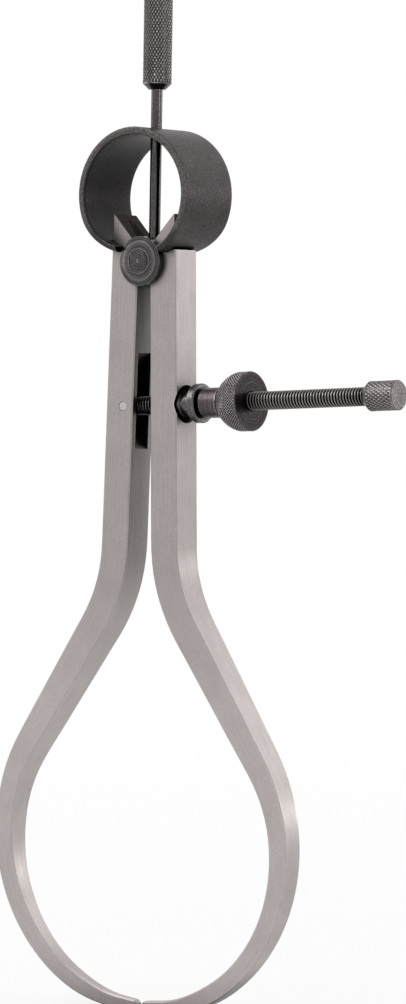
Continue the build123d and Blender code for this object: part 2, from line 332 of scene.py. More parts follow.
# %% [markdown]
# Fine grain, worn edges, painted shade in hollows and turning marks come back on several finishes,
# so each is a node group that is built once. Grain is layered noise. Worn edges could be painted,
# but the Bevel node finds them from the shape itself: where its rounded normal leaves the face's
# own normal, there is an edge. Shade in hollows and between parts is painted into the colour:
# ambient occlusion finds where little light gets in, and the colour is darkened there. Turning marks
# are rings about an axis, broken up a little so they don't look printed.

# %% Grain
noise_low = 0.3
noise_high = 0.7


def noise(tree, vector, size, detail, roughness=0.5):
    """Layered noise with grains of a size."""
    scale = maths(tree, "DIVIDE", 1.0, size)
    sockets = {"Vector": vector, "Scale": scale, "Detail": detail, "Roughness": roughness}
    return add_node(tree, "TexNoise", sockets).outputs[0]


grain_group, given, wanted = new_group(
    "Grain",
    [("Vector", "Vector", None), ("Size", "Float", 0.001),
     ("Low", "Float", 0.0), ("High", "Float", 1.0)],
    [("Value", "Float"), ("Height", "Float")],
)
grain = noise(grain_group, given["Vector"], given["Size"], 3.0, 0.6)
spread = ranged(grain_group, grain, noise_low, noise_high, given["Low"], given["High"])
grain_group.links.new(spread, wanted["Value"])
grain_group.links.new(grain, wanted["Height"])

# %% Worn edges
flat_agreement = 0.995
edge_agreement = 0.86
patch_low = 0.35
patch_high = 0.6
least_wear = 0.25

wear_group, given, wanted = new_group(
    "Worn edges",
    [("Vector", "Vector", None), ("Radius", "Float", 0.0002), ("Breakup", "Float", 0.001)],
    [("Mask", "Float")],
)
rounded = add_node(wear_group, "Bevel", {"Radius": given["Radius"]}, samples=6).outputs[0]
flat = add_node(wear_group, "NewGeometry").outputs["Normal"]
agree = add_node(wear_group, "VectorMath", {0: rounded, 1: flat}, operation="DOT_PRODUCT")
edge = ranged(wear_group, agree.outputs["Value"], flat_agreement, edge_agreement, 0.0, 1.0)
patches = noise(wear_group, given["Vector"], given["Breakup"], 4.0)
patchy = ranged(wear_group, patches, patch_low, patch_high, least_wear, 1.0)
wear_group.links.new(maths(wear_group, "MULTIPLY", edge, patchy), wanted["Mask"])

# %% Painted shade in hollows
hollow_shade_group, given, wanted = new_group(
    "Painted shade in hollows",
    [("Distance", "Float", 0.01), ("Low", "Float", 0.2),
     ("High", "Float", 0.8), ("Dark", "Float", 0.1)],
    [("Open", "Float")],
)
occlusion = add_node(hollow_shade_group, "AmbientOcclusion", {"Distance": given["Distance"]}, samples=8)
reached = occlusion.outputs["AO"]
open_share = ranged(hollow_shade_group, reached, given["Low"], given["High"], given["Dark"], 1.0)
hollow_shade_group.links.new(open_share, wanted["Open"])

# %% Turning marks
rings_group, given, wanted = new_group(
    "Turning marks",
    [("Vector", "Vector", None), ("Pitch", "Float", 0.0003)],
    [("Height", "Float"), ("Reach", "Float")],
)
parts = add_node(rings_group, "SeparateXYZ", {0: given["Vector"]}).outputs
flat_part = add_node(rings_group, "CombineXYZ", {0: parts["X"], 1: parts["Y"]}).outputs[0]
reach = length_of(rings_group, flat_part)
place = add_node(rings_group, "CombineXYZ", {0: reach, 1: parts["Z"]}).outputs[0]
marks = noise(rings_group, place, given["Pitch"], 2.0)
rings_group.links.new(marks, wanted["Height"])
rings_group.links.new(reach, wanted["Reach"])
print("node groups:", ", ".join(g.name for g in bpy.data.node_groups))

# %% [markdown]
# The legs are ground along their length, so the marks must follow them down the bar, through the
# bend, along the slanted run and round the bow. A plain stretched noise would cut across the bow.
# This group works out, from the same radii that shape the leg, how far a point lies from the leg's
# middle line and how far down it is, so any noise laid on that follows the steel. Both legs use it,
# because the left one is the mirror image. It also marks the slanted face on each ear, left black
# from the forge, and the half-round groove that clears the handle's stem, which takes the same black
# and a little painted shade on top.

# %% Lines along the leg
leg_swing = radians(1.46)
leg_middle = 4.8 * MM
bend_drop = 57.2 * MM
bend_radius = 31.9 * MM
bend_angle = radians(32.7)
slant_length = 31.0 * MM
bow_radius = 33.0 * MM
slant_side = leg_middle + bend_radius * (1 - cos(bend_angle))
slant_drop = bend_drop + bend_radius * sin(bend_angle)
bow_side = slant_side + slant_length * sin(bend_angle) - bow_radius * cos(bend_angle)
bow_drop = slant_drop + slant_length * cos(bend_angle) + bow_radius * sin(bend_angle)

ear_side = 3.15 * MM
ear_rise = 4.62 * MM
ear_slope = radians(45.8)
slope_fade_start = 0.02 * MM
slope_fade_end = 0.1 * MM
ear_fade_start = 1.0 * MM
ear_fade_end = 3.0 * MM
groove_turn = leg_swing + radians(30.2)
groove_radius = 1.45 * MM
groove_fade_start = groove_radius + 0.12 * MM
groove_fade_end = groove_radius + 0.2 * MM

leg_group, given, wanted = new_group(
    "Along the leg",
    [("Vector", "Vector", None)],
    [("Vector", "Vector"), ("Ear", "Float"), ("Groove", "Float")],
)
parts = add_node(leg_group, "SeparateXYZ", {0: given["Vector"]}).outputs
mirrored = maths(leg_group, "ABSOLUTE", parts["X"])
folded = add_node(leg_group, "CombineXYZ", {0: mirrored, 1: parts["Y"], 2: parts["Z"]}).outputs[0]
sockets = {"Vector": folded, "Location": fulcrum, "Rotation": (0, -leg_swing, 0)}
hung = add_node(leg_group, "Mapping", sockets, vector_type="TEXTURE").outputs[0]
parts = add_node(leg_group, "SeparateXYZ", {0: hung}).outputs
side = parts["X"]
drop = maths(leg_group, "MULTIPLY", parts["Z"], -1.0)


def about(tree, side, drop, centre_side, centre_drop):
    """How far a point lies beside, below and in all from a centre, in the leg's own plane."""
    run = maths(tree, "SUBTRACT", side, centre_side)
    fall = maths(tree, "SUBTRACT", drop, centre_drop)
    distance = length_of(tree, add_node(tree, "CombineXYZ", {0: run, 1: fall}).outputs[0])
    return run, fall, distance


def weighed(tree, first, first_share, second, second_share):
    """The sum of two values, each times its share."""
    one = maths(tree, "MULTIPLY", first, first_share)
    other = maths(tree, "MULTIPLY", second, second_share)
    return maths(tree, "ADD", one, other)


def choose(tree, mask, low, high):
    """The second value where the mask is one, and the first where it is zero."""
    sockets = {"Factor": mask, 2: low, 3: high}
    return add_node(tree, "Mix", sockets, data_type="FLOAT").outputs[0]


straight = maths(leg_group, "SUBTRACT", side, leg_middle)
_, _, bend_reach = about(leg_group, side, drop, leg_middle + bend_radius, bend_drop)
bent = maths(leg_group, "SUBTRACT", bend_radius, bend_reach)
in_bend = maths(leg_group, "GREATER_THAN", drop, bend_drop)
slant_run, slant_fall, _ = about(leg_group, side, drop, slant_side, slant_drop)
slanted = weighed(leg_group, slant_run, cos(bend_angle), slant_fall, -sin(bend_angle))
past_bend = weighed(leg_group, slant_run, sin(bend_angle), slant_fall, cos(bend_angle))
in_slant = maths(leg_group, "GREATER_THAN", past_bend, 0.0)
in_bow = maths(leg_group, "GREATER_THAN", past_bend, slant_length)
bow_run, bow_fall, bow_reach = about(leg_group, side, drop, bow_side, bow_drop)
bowed = maths(leg_group, "SUBTRACT", bow_reach, bow_radius)
bow_lean = maths(leg_group, "ARCTAN2", bow_fall, bow_run)
bow_way = maths(leg_group, "MULTIPLY", bow_lean, bow_radius)
bow_way = maths(leg_group, "ADD", bow_way, bow_drop)
across = choose(leg_group, in_bend, straight, bent)
across = choose(leg_group, in_slant, across, slanted)
across = choose(leg_group, in_bow, across, bowed)
along = choose(leg_group, in_bow, drop, bow_way)
result = add_node(leg_group, "CombineXYZ", {0: across, 1: parts["Y"], 2: along}).outputs[0]
leg_group.links.new(result, wanted["Vector"])

# %% Scale on the ears
ear_run = maths(leg_group, "SUBTRACT", side, ear_side)
ear_lift = maths(leg_group, "ADD", drop, ear_rise)
ear_depth = weighed(leg_group, ear_run, sin(ear_slope), ear_lift, cos(ear_slope))
on_slope = ranged(leg_group, ear_depth, slope_fade_start, slope_fade_end, 1.0, 0.0)
above = ranged(leg_group, drop, -ear_fade_start, -ear_fade_end, 0.0, 1.0)
beside = weighed(leg_group, side, cos(groove_turn), drop, sin(groove_turn))
_, _, from_stem = about(leg_group, beside, parts["Y"], 0.0, 0.0)
in_groove = ranged(leg_group, from_stem, groove_fade_start, groove_fade_end, 1.0, 0.0)
bare = maths(leg_group, "MAXIMUM", on_slope, in_groove)
leg_group.links.new(maths(leg_group, "MULTIPLY", bare, above), wanted["Ear"])
leg_group.links.new(in_groove, wanted["Groove"])
print("the bow's centre is", round(bow_drop / MM, 2), "mm below the fulcrum")

# %% [markdown]
# Three finishes are needed. The legs are bare steel, ground along their length to a satin face.
# The stud, spring, handle, screw, washer and nut are blackened by a hot oxide bath, which leaves a
# dark skin that still mirrors the room at a glancing angle and wears back to steel at its edges.
# The pin is plain bright steel. All are metals but for the rough scale left from the forge on the
# ears, which is dull, so it isn't metallic. On a metal the colour sits in the reflection, and the
# finishes differ in colour, roughness and the marks in the Bump node.

# %% Satin steel for the legs
steel_dark = (0.32, 0.29, 0.283, 1)
steel_light = (0.36, 0.328, 0.32, 1)
steel_worn = (0.5, 0.475, 0.465, 1)
steel_sheen = 0.15
scale_dark = (0.018, 0.014, 0.013, 1)
scale_light = (0.11, 0.086, 0.078, 1)
scale_roughness = 0.4
line_size = 0.25 * MM
line_stretch = 0.03
grit_size = 0.22 * MM
patch_size = 6.0 * MM
painted_light_start = 62.0 * MM
painted_light_end = 92.0 * MM
slant_painted_light = 1.27
edge_wear = {"Radius": 0.25 * MM, "Breakup": 1.2 * MM}
leg_hollow_shade = {"Distance": 14.0 * MM, "Low": 0.2, "High": 0.86, "Dark": 0.12}

leg_steel, tree, shader, _ = new_material("satin_leg_steel")
place = add_node(tree, "TexCoord").outputs["Object"]
leg = use_group(tree, leg_group, {"Vector": place})
sockets = {"Vector": leg["Vector"], "Scale": (1.0, 1.0, line_stretch)}
drawn = add_node(tree, "Mapping", sockets).outputs[0]
lines = use_group(tree, grain_group, {"Vector": drawn, "Size": line_size})
grit = use_group(tree, grain_group, {"Vector": place, "Size": grit_size})
cloud = use_group(tree, grain_group, {"Vector": place, "Size": patch_size})
worn = use_group(tree, wear_group, {"Vector": place, **edge_wear})["Mask"]
# Painted shade: ambient occlusion darkens the steel where other parts are close, as between the legs and
# under the nut.
hollow_shade = use_group(tree, hollow_shade_group, leg_hollow_shade)["Open"]
colour = mixed_colour(tree, lines["Value"], steel_dark, steel_light)
colour = mixed_colour(tree, worn, colour, steel_worn)
speckle = ranged(tree, grit["Value"], 0.0, 1.0, 0.86, 1.1)
shade = ranged(tree, cloud["Value"], 0.0, 1.0, 0.95, 1.04)
# Painted light: the steel is made up to about a quarter lighter down the slanted run, standing for the
# brighter reflection there.
along = add_node(tree, "SeparateXYZ", {0: leg["Vector"]}).outputs["Z"]
gain = ranged(tree, along, painted_light_start, painted_light_end, 1.0, slant_painted_light)
shade = maths(tree, "MULTIPLY", shade, gain)
shade = maths(tree, "MULTIPLY", maths(tree, "MULTIPLY", speckle, shade), hollow_shade)
colour = scaled_colour(tree, colour, shade)

share = ranged(tree, grit["Value"], 0.45, 1.0, 0.0, 1.0)
scale = mixed_colour(tree, share, scale_dark, scale_light)
# Painted shade: the groove by the stem is made a little darker than the scale on the slope.
scale = scaled_colour(tree, scale, ranged(tree, leg["Groove"], 0.0, 1.0, 1.0, 0.9))
scaled = maths(tree, "MAXIMUM", leg["Ear"], leg["Groove"])
colour = mixed_colour(tree, scaled, colour, scale)
rough = ranged(tree, lines["Value"], 0.0, 1.0, 0.42, 0.32)
rough = maths(tree, "ADD", rough, maths(tree, "MULTIPLY", scaled, scale_roughness))
height = maths(tree, "ADD", lines["Height"], maths(tree, "MULTIPLY", grit["Height"], 0.6))
bump = add_node(tree, "Bump", {"Strength": 0.3, "Distance": 0.03 * MM, "Height": height})
fill(tree, shader, {
    "Base Color": colour,
    "Roughness": rough,
    "Metallic": maths(tree, "SUBTRACT", 1.0, scaled),
    "Specular IOR Level": steel_sheen,
    "Normal": bump.outputs[0],
})

# %% Black oxide
oxide_patch_size = 3.5 * MM
oxide_wear = {"Radius": 0.2 * MM, "Breakup": 0.8 * MM}
seam_start = 0.3 * MM
seam_end = 0.8 * MM


def rubbed_rim(tree, place, grit, worn, rim):
    """The wear of the band, rubbed on its front and back rims and gone where its halves meet."""
    low, high, strength = rim
    parts = add_node(tree, "SeparateXYZ", {0: place}).outputs
    rubbed = ranged(tree, maths(tree, "ABSOLUTE", parts["Y"]), low, high, 0.0, strength)
    rubbed = maths(tree, "MULTIPLY", rubbed, ranged(tree, grit, 0.1, 0.9, 0.25, 1.0))
    from_seam = maths(tree, "ABSOLUTE", parts["X"])
    worn = maths(tree, "MULTIPLY", worn, ranged(tree, from_seam, seam_start, seam_end, 0.0, 1.0))
    return maths(tree, "MAXIMUM", worn, rubbed)


def turning_marks(tree, place, frame, pitch):
    """The turning marks about the Z of a frame."""
    sockets = {"Vector": place, "Location": frame.to_translation(), "Rotation": frame.to_euler()}
    own = add_node(tree, "Mapping", sockets, vector_type="TEXTURE").outputs[0]
    return use_group(tree, rings_group, {"Vector": own, "Pitch": pitch})


def black_oxide(name, dark, light, worn_to, roughness, grain_size, hollow_shade,
                turned_about=None, rings=None, bright_rings=(), rim=None):
    """A blackened steel that wears at its edges, with shade painted into its hollows and grooves, and
    turning marks or a rubbed rim if wanted.
    """
    material, tree, shader, _ = new_material(name)
    place = add_node(tree, "TexCoord").outputs["Object"]
    grit = use_group(tree, grain_group, {"Vector": place, "Size": grain_size})
    cloud = use_group(tree, grain_group, {"Vector": place, "Size": oxide_patch_size})
    worn = use_group(tree, wear_group, {"Vector": place, **oxide_wear})["Mask"]
    relief = add_node(tree, "Attribute", attribute_name="relief").outputs["Fac"]
    crest = ranged(tree, relief, 0.1, 0.9, 0.0, 0.95)
    # Painted shade: the colour is darkened towards the bottom of a groove.
    groove_shade = ranged(tree, relief, -0.8, 0.0, 0.1, 1.0)
    crest = maths(tree, "MULTIPLY", crest, ranged(tree, grit["Value"], 0.0, 1.0, 0.5, 1.0))
    worn = maths(tree, "MAXIMUM", worn, crest)
    if rim is not None:
        worn = rubbed_rim(tree, place, grit["Value"], worn, rim)
    clouded = ranged(tree, cloud["Value"], 0.0, 1.0, 0.55, 1.0)
    share = maths(tree, "MULTIPLY", grit["Value"], clouded)
    height = grit["Height"]
    if turned_about is not None:
        pitch, contrast = rings
        marks = turning_marks(tree, place, turned_about, pitch)
        height = weighed(tree, height, 0.5, marks["Height"], 2.0)
        bright = ranged(tree, marks["Height"], 0.45, 0.65, 0.0, contrast)
        share = maths(tree, "ADD", share, bright)
        for radius, half_width, strength in bright_rings:
            off = maths(tree, "ABSOLUTE", maths(tree, "SUBTRACT", marks["Reach"], radius))
            ring = ranged(tree, off, half_width * 0.4, half_width, strength, 0.0)
            worn = maths(tree, "MAXIMUM", worn, ring)
    colour = mixed_colour(tree, share, dark, light)
    colour = mixed_colour(tree, worn, colour, worn_to)
    # Painted shade: the colour is darkened where ambient occlusion finds a hollow, and down in the grooves.
    distance, low, high, deep = hollow_shade
    sockets = {"Distance": distance, "Low": low, "High": high, "Dark": deep}
    open_share = use_group(tree, hollow_shade_group, sockets)["Open"]
    colour = scaled_colour(tree, colour, maths(tree, "MULTIPLY", open_share, groove_shade))
    bump = add_node(tree, "Bump", {"Strength": 0.5, "Distance": 0.04 * MM, "Height": height})
    fill(tree, shader, {
        "Base Color": colour,
        "Metallic": 1.0,
        "Roughness": ranged(tree, grit["Value"], 0.0, 1.0, roughness + 0.08, roughness - 0.06),
        "Normal": bump.outputs[0],
    })
    return material


# %% [markdown]
# Each blackened piece gets its own mix: how dark and how light the skin is, what it wears to, how
# rough it is, how large its grain is and how soon shade is painted into its hollows. The painted
# shade of a hollow is a distance to look, the open shares between which it fades, and how dark it
# ends.

# %% The blackened finishes
shade_in_grooves = (0.8 * MM, 0.2, 0.8, 0.3)
shade_between_legs = (6.0 * MM, 0.6, 0.95, 0.02)
shade_in_corners = (2.0 * MM, 0.3, 0.9, 0.1)
shade_in_the_ring = (30.0 * MM, 0.5, 0.95, 0.1)
shade_in_the_seat = (1.2 * MM, 0.3, 0.85, 0.15)
stud_black = black_oxide(
    "blackened_stud", dark=(0.011, 0.01, 0.0107, 1), light=(0.135, 0.124, 0.128, 1),
    worn_to=(0.3, 0.29, 0.28, 1), roughness=0.2, grain_size=0.25 * MM, hollow_shade=shade_in_corners,
    turned_about=on_stud, rings=(0.4 * MM, 1.0), bright_rings=((0.0, 0.5 * MM, 1.0),),
)
spring_black = black_oxide(
    "blackened_spring", dark=(0.03, 0.0265, 0.0275, 1), light=(0.098, 0.087, 0.087, 1),
    worn_to=(0.5, 0.47, 0.46, 1), roughness=0.42, grain_size=0.3 * MM, hollow_shade=shade_in_the_ring,
    rim=(7.6 * MM, 7.85 * MM, 0.12),
)
handle_black = black_oxide(
    "blackened_handle", dark=(0.04, 0.036, 0.037, 1), light=(0.13, 0.117, 0.117, 1),
    worn_to=(0.42, 0.39, 0.39, 1), roughness=0.18, grain_size=0.3 * MM, hollow_shade=shade_in_grooves,
)
screw_black = black_oxide(
    "blackened_screw", dark=(0.035, 0.031, 0.031, 1), light=(0.11, 0.1, 0.098, 1),
    worn_to=(0.4, 0.37, 0.36, 1), roughness=0.34, grain_size=0.25 * MM, hollow_shade=shade_between_legs,
)
nut_black = black_oxide(
    "blackened_nut", dark=(0.033, 0.027, 0.03, 1), light=(0.11, 0.092, 0.1, 1),
    worn_to=(0.58, 0.53, 0.54, 1), roughness=0.38, grain_size=0.3 * MM, hollow_shade=shade_in_grooves,
    turned_about=on_screw, rings=(0.35 * MM, 0.7),
)
washer_black = black_oxide(
    "blackened_washer", dark=(0.05, 0.046, 0.047, 1), light=(0.19, 0.175, 0.178, 1),
    worn_to=(0.34, 0.32, 0.31, 1), roughness=0.25, grain_size=0.3 * MM, hollow_shade=shade_in_the_seat,
)
cap_black = black_oxide(
    "worn_cap", dark=(0.07, 0.063, 0.062, 1), light=(0.24, 0.22, 0.215, 1),
    worn_to=(0.5, 0.48, 0.47, 1), roughness=0.34, grain_size=0.4 * MM, hollow_shade=shade_in_grooves,
)

# %% Bright steel
pin_dark = (0.4, 0.38, 0.37, 1)
pin_light = (0.52, 0.5, 0.49, 1)
pin_grain = 0.25 * MM

pin_steel, tree, shader, _ = new_material("bright_pin_steel")
place = add_node(tree, "TexCoord").outputs["Object"]
grit = use_group(tree, grain_group, {"Vector": place, "Size": pin_grain})
bump = add_node(tree, "Bump", {"Strength": 0.3, "Distance": 0.02 * MM, "Height": grit["Height"]})
fill(tree, shader, {
    "Base Color": mixed_colour(tree, grit["Value"], pin_dark, pin_light),
    "Metallic": 1.0,
    "Roughness": ranged(tree, grit["Value"], 0.0, 1.0, 0.4, 0.25),
    "Normal": bump.outputs[0],
})
print("materials:", ", ".join(m.name for m in bpy.data.materials))

# %% [markdown]
# The stud and ball washer are already right as solids, so they stay as they are and only take a
# better finish on the slots that they came with.

# %% Finishes on the solids that stay
finishes = {
    "fulcrum_stud": stud_black,
    "ball_washer": washer_black,
}
for node, material in finishes.items():
    for one in frame["nodes"][node].material_slots:
        one.material = material
print("finished as they are:", ", ".join(finishes))

# %% [markdown]
# Handle, nut and cap are lathe work. Each starts as half of its own outline, radius and height,
# which spin turns about an axis. The outline has extra points where a knurl will be rolled in, so
# the surface is fine enough there and stays light elsewhere.

# %% Helpers for turned pieces
weld = 0.001 * MM


def run(start, end, count):
    """Points of an outline from one to another, spaced evenly, without the last."""
    first, last = Vector(start), Vector(end)
    return [tuple(first.lerp(last, i / count)) for i in range(count)]


def arc(start, middle, end, count):
    """Points of an outline along the arc through three points, without the last."""
    first, second, third = complex(*start), complex(*middle), complex(*end)
    ratio = (third - first) / (second - first)
    centre = first + (second - first) * (ratio - abs(ratio) ** 2) / (ratio - ratio.conjugate())
    begin, finish = phase(first - centre), phase(third - centre)
    spots = [
        centre + rect(abs(first - centre), begin + (finish - begin) * i / count)
        for i in range(count)
    ]
    return [(spot.real, spot.imag) for spot in spots]


def turned(outline, steps, closed=False):
    """A shape spun about Z from an outline of radii and heights."""
    shape = bmesh.new()
    shape.verts.layers.float.new("relief")
    points = [shape.verts.new((radius, 0, height)) for radius, height in outline]
    edges = [shape.edges.new(pair) for pair in zip(points, points[1:])]
    if closed:
        edges.append(shape.edges.new((points[-1], points[0])))
    bmesh.ops.spin(shape, geom=points + edges, axis=(0, 0, 1), cent=(0, 0, 0), angle=2 * pi,
                   steps=steps, use_merge=True)
    bmesh.ops.remove_doubles(shape, verts=shape.verts, dist=weld)
    bmesh.ops.recalc_face_normals(shape, faces=shape.faces)
    return shape


def finish_piece(shape, name, place, material, body, nodes, smooth_angle=35.0):
    """The shape as an object in its place, shaded, riding its body and standing for its nodes."""
    bmesh.ops.transform(shape, matrix=place, verts=shape.verts)
    mesh = bpy.data.meshes.new(name)
    shape.to_mesh(mesh)
    shape.free()
    mesh.shade_smooth()
    mesh.set_sharp_from_angle(angle=radians(smooth_angle))
    mesh.materials.append(material)
    piece = bpy.data.objects.new(name, mesh)
    bpy.context.scene.collection.objects.link(piece)
    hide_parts(*nodes)
    if body is not None:
        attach(piece, body)
    triangles = sum(len(face.vertices) - 2 for face in mesh.polygons)
    print(name, triangles, "triangles")
    return piece


# %% [markdown]
# The legs have the right shape as solids too, but where their straight bars run into the bend, the
# surface ripples by a few hundredths of a millimetre. Nobody could feel that, yet polished steel
# shows it as a dark line. So each leg is a copy of its solid with the points of that short stretch
# laid exactly on the straight sides. The copy is merged, and merging would lose the smooth shading
# that came with the solid, so the normal of every corner is kept in an attribute and set again.

# %% Legs
leg_half = 3.3 * MM
ripple = 0.15 * MM
ripple_start = 45.0 * MM
facing = 0.9


def ground_leg(node, hand):
    """A merged copy of a leg with its ripple laid straight, as a bmesh that keeps its normals."""
    mesh = node.data.copy()
    kept = mesh.attributes.new("kept_normal", "FLOAT_VECTOR", "CORNER")
    parts = [part for corner in mesh.corner_normals for part in corner.vector]
    kept.data.foreach_set("vector", parts)
    shape = bmesh.new()
    shape.from_mesh(mesh)
    bmesh.ops.remove_doubles(shape, verts=shape.verts, dist=weld)
    hang = Matrix.Rotation(hand * leg_swing, 4, "Y") @ Matrix.Translation(-fulcrum)
    sideways = hang.inverted().to_3x3() @ Vector((hand, 0, 0))
    normal = shape.loops.layers.float_vector["kept_normal"]
    for vert in shape.verts:
        hung = hang @ vert.co
        off = hand * hung.x - leg_middle
        if ripple_start < -hung.z < bend_drop and abs(abs(off) - leg_half) < ripple:
            outer = 1 if off > 0 else -1
            hung.x = hand * (leg_middle + outer * leg_half)
            vert.co = hang.inverted() @ hung
            for corner in vert.link_loops:
                if abs(corner[normal].dot(sideways)) > facing:
                    corner[normal] = sideways * outer
    return shape


for name, body, hand in (("left_leg", "leg_left", -1), ("right_leg", "leg_right", 1)):
    shape = ground_leg(frame["nodes"][name], hand)
    print("open edges in", name, "are", sum(not edge.is_manifold for edge in shape.edges))
    piece = finish_piece(shape, name + "_ground", Matrix(), leg_steel, body, [name])
    kept = piece.data.attributes["kept_normal"]
    piece.data.normals_split_custom_set([tuple(corner.vector) for corner in kept.data])
    piece.data.attributes.remove(kept)

# %% [markdown]
# A diamond knurl is rolled in by two wheels whose ridges lean opposite ways. Here it is two sets of
# spiral V grooves. For each point the share of the way between grooves is worked out for both
# sets, and the nearer groove decides how far the surface sinks along its normal. A whole number
# of teeth closes the pattern round the piece. A picture of a knurl would be cheaper, but it would
# not break up the outline or catch the light on its own flanks. Each point also keeps a number
# named relief, from minus one in a groove to one on a crest, so that the black finish can paint
# shade into the grooves and wear bright on the crests.

# %% Knurl
tooth_steps = 4
crest_gain = 1.25


def ridge(way):
    """Height of a V-grooved surface: zero in a groove and one midway between two."""
    return 1.0 - abs(2.0 * (way % 1.0) - 1.0)


def knurl(shape, low, high, teeth, pitch, depth, fade, inner=0.0):
    """Presses two crossing sets of spiral grooves into the surface between two heights."""
    shape.normal_update()
    relief = shape.verts.layers.float["relief"]
    for vert in list(shape.verts):
        height = vert.co.z
        if not low < height < high or vert.co.to_2d().length < inner:
            continue
        turn = atan2(vert.co.y, vert.co.x) / (2 * pi) * teeth
        lift = (height - low) / pitch
        nearer = min(ridge(turn + lift), ridge(turn - lift))
        edge = min(1.0, (height - low) / fade, (high - height) / fade)
        crest = min(1.0, nearer * crest_gain)
        vert[relief] = edge * (2.0 * crest - 1.0)
        vert.co -= vert.normal * depth * edge * (1.0 - crest)


# %% [markdown]
# The handle is one bar turned in a lathe: a thin stem that screws into the stud, and a grip with
# a coarse diamond knurl. Its top is outside the photograph, so a plain chamfer ends it.

# %% Handle
stem_radius = 1.15 * MM
grip_radius = 2.95 * MM
grip_cone_radius = 1.7 * MM
grip_cone = 1.2 * MM
grip_chamfer = 0.5 * MM
grip_teeth = 28
grip_pitch = 1.15 * MM
grip_depth = 0.22 * MM
grip_fade = 0.3 * MM
pitch_rows = 4
stem_rows = 12
stem_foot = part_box("handle")[0].z - fulcrum.z
grip_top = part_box("handle")[1].z - fulcrum.z
grip_foot = 34.7 * MM
grip_low = grip_foot + grip_cone
grip_high = grip_top - grip_chamfer
grip_rows = round((grip_high - grip_low) / grip_pitch * pitch_rows)
outline = [(0, stem_foot)]
outline += run((stem_radius, stem_foot), (stem_radius, grip_foot), stem_rows)
outline += [(stem_radius, grip_foot), (grip_cone_radius, grip_foot)]
outline += run((grip_radius, grip_low), (grip_radius, grip_high), grip_rows)
outline += [(grip_radius, grip_high), (grip_radius - grip_chamfer, grip_top), (0, grip_top)]
shape = turned(outline, grip_teeth * tooth_steps)
knurl(shape, grip_low, grip_high, grip_teeth, grip_pitch, grip_depth, grip_fade)
finish_piece(shape, "knurled_handle", at_fulcrum, handle_black, "head", ["handle"])

# %% [markdown]
# The adjusting screw is a rod with a fine V thread. The spin tool makes a real thread when it is
# told to climb as it turns: one tooth of the profile climbs by one pitch in a turn, so the end of a
# turn meets the start of the next. Spinning the whole length is slow, so one turn is spun and then
# copied up the rod, twice as many turns each time. Both ends are cut square and closed.

# %% Adjusting screw
screw_radius = 1.88 * MM
thread_pitch = 0.7 * MM
thread_depth = 0.42 * MM
thread_crest = 0.1 * MM
thread_bulge = 0.55
thread_steps = 32
early_turns = 1.5
spare_turns = 3
eye_radius = 1.04 * MM
eye_to_thread = 1.15 * MM
reach_to_pin = (pin_place - seat_place).length
screw_end = 50.91 * MM
thread_start = -reach_to_pin + eye_to_thread
turns = int((screw_end - thread_start) / thread_pitch) + spare_turns
first = thread_start - thread_pitch * early_turns
root = screw_radius - thread_depth
flank = (thread_pitch - thread_crest) / 2
flank_middle = root + thread_depth * thread_bulge
tooth = [(root, 0), (flank_middle, flank / 2), (screw_radius, flank)]
tooth += [(screw_radius, flank + thread_crest), (flank_middle, thread_pitch - flank / 2)]
tooth += [(root, thread_pitch)]


def thread(profile, start, pitch, steps, count):
    """A climbing ridge of a number of turns, open at both ends."""
    shape = bmesh.new()
    shape.verts.layers.float.new("relief")
    points = [shape.verts.new((radius, 0, start + height)) for radius, height in profile]
    edges = [shape.edges.new(pair) for pair in zip(points, points[1:])]
    climb = Vector((0, 0, pitch / steps))
    bmesh.ops.spin(shape, geom=points + edges, axis=(0, 0, 1), cent=(0, 0, 0), dvec=climb,
                   angle=2 * pi, steps=steps)
    made = 1
    while made < count:
        more = min(made, count - made)
        geometry = shape.verts[:] + shape.edges[:] + shape.faces[:]
        copied = bmesh.ops.duplicate(shape, geom=geometry)["geom"]
        moved = [item for item in copied if isinstance(item, bmesh.types.BMVert)]
        bmesh.ops.translate(shape, verts=moved, vec=(0, 0, pitch * more))
        made += more
        bmesh.ops.remove_doubles(shape, verts=shape.verts, dist=weld)
    return shape


shape = thread(tooth, first, thread_pitch, thread_steps, turns)
for height, side in ((thread_start, -1), (screw_end, 1)):
    geometry = shape.verts[:] + shape.edges[:] + shape.faces[:]
    bmesh.ops.bisect_plane(shape, geom=geometry, plane_co=(0, 0, height), plane_no=(0, 0, side),
                           clear_outer=True)
bmesh.ops.holes_fill(shape, edges=[edge for edge in shape.edges if edge.is_boundary], sides=0)
bmesh.ops.recalc_face_normals(shape, faces=shape.faces)
# The relief runs from the thread's roots to its crests, so the finish paints shade into the roots and wears
# the crests bright.
relief = shape.verts.layers.float["relief"]
for vert in shape.verts:
    vert[relief] = 2.0 * (vert.co.to_2d().length - root) / thread_depth - 1.0
print("open edges in the thread:", sum(not edge.is_manifold for edge in shape.edges))

# %% [markdown]
# The end inside the left leg is a ball with a cross hole for the pin. The hole is a Boolean, cut by
# a helper that the spring will use again for the hole at its top.

# %% Ball end with its hole
bore_segments = 48
ball_segments = 32
ball_rows = 20


